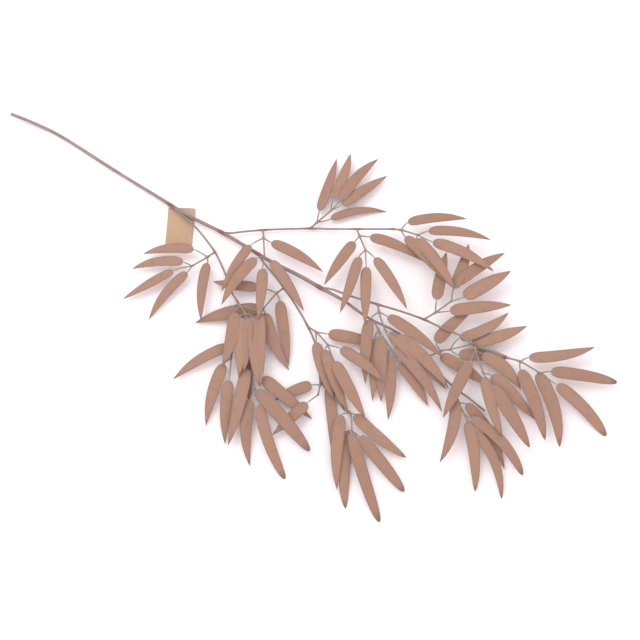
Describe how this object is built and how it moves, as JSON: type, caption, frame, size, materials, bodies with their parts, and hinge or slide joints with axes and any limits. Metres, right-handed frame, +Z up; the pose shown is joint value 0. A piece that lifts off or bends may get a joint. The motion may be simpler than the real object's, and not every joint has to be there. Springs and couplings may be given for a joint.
{
  "type": "bamboo leaf branch",
  "caption": "Long bare stem with thin side branches and sprays of narrow bamboo leaves, dried-brown all over, with a blank card tag under the stem, lying flat.",
  "frame": {"origin": "centre of the bounding box in X and Y, on the surface that the branch lies on", "axes": "+X along the stem from its cut end to the leafy end, +Z up from the surface"},
  "size_m": [1.0948, 0.5406, 0.0414],
  "materials": {
    "stem": "matt, greyish brown",
    "leaf": "matt, pinkish brown",
    "tag": "uncoated kraft card"
  },
  "bodies": {
    "root": {"main_stem": "stem", "lower_left_branch": "stem", "upper_branch": "stem", "right_branch": "stem", "lower_middle_branch": "stem", "spray_by_tag": "leaf", "spray_over_stem": "leaf", "spray_top": "leaf", "spray_upper_middle": "leaf", "spray_upper_right": "leaf", "spray_right_branch": "leaf", "spray_behind_right_branch": "leaf", "spray_over_end": "leaf", "spray_right_end": "leaf", "spray_stem_end": "leaf", "spray_middle": "leaf", "spray_middle_lower": "leaf", "spray_beside_pile": "leaf", "spray_lower_middle": "leaf", "spray_across": "leaf", "spray_lower_end": "leaf", "spray_pile_top": "leaf", "spray_pile_left": "leaf", "spray_pile_end": "leaf", "tag": "tag"}
  },
  "joints": []
}
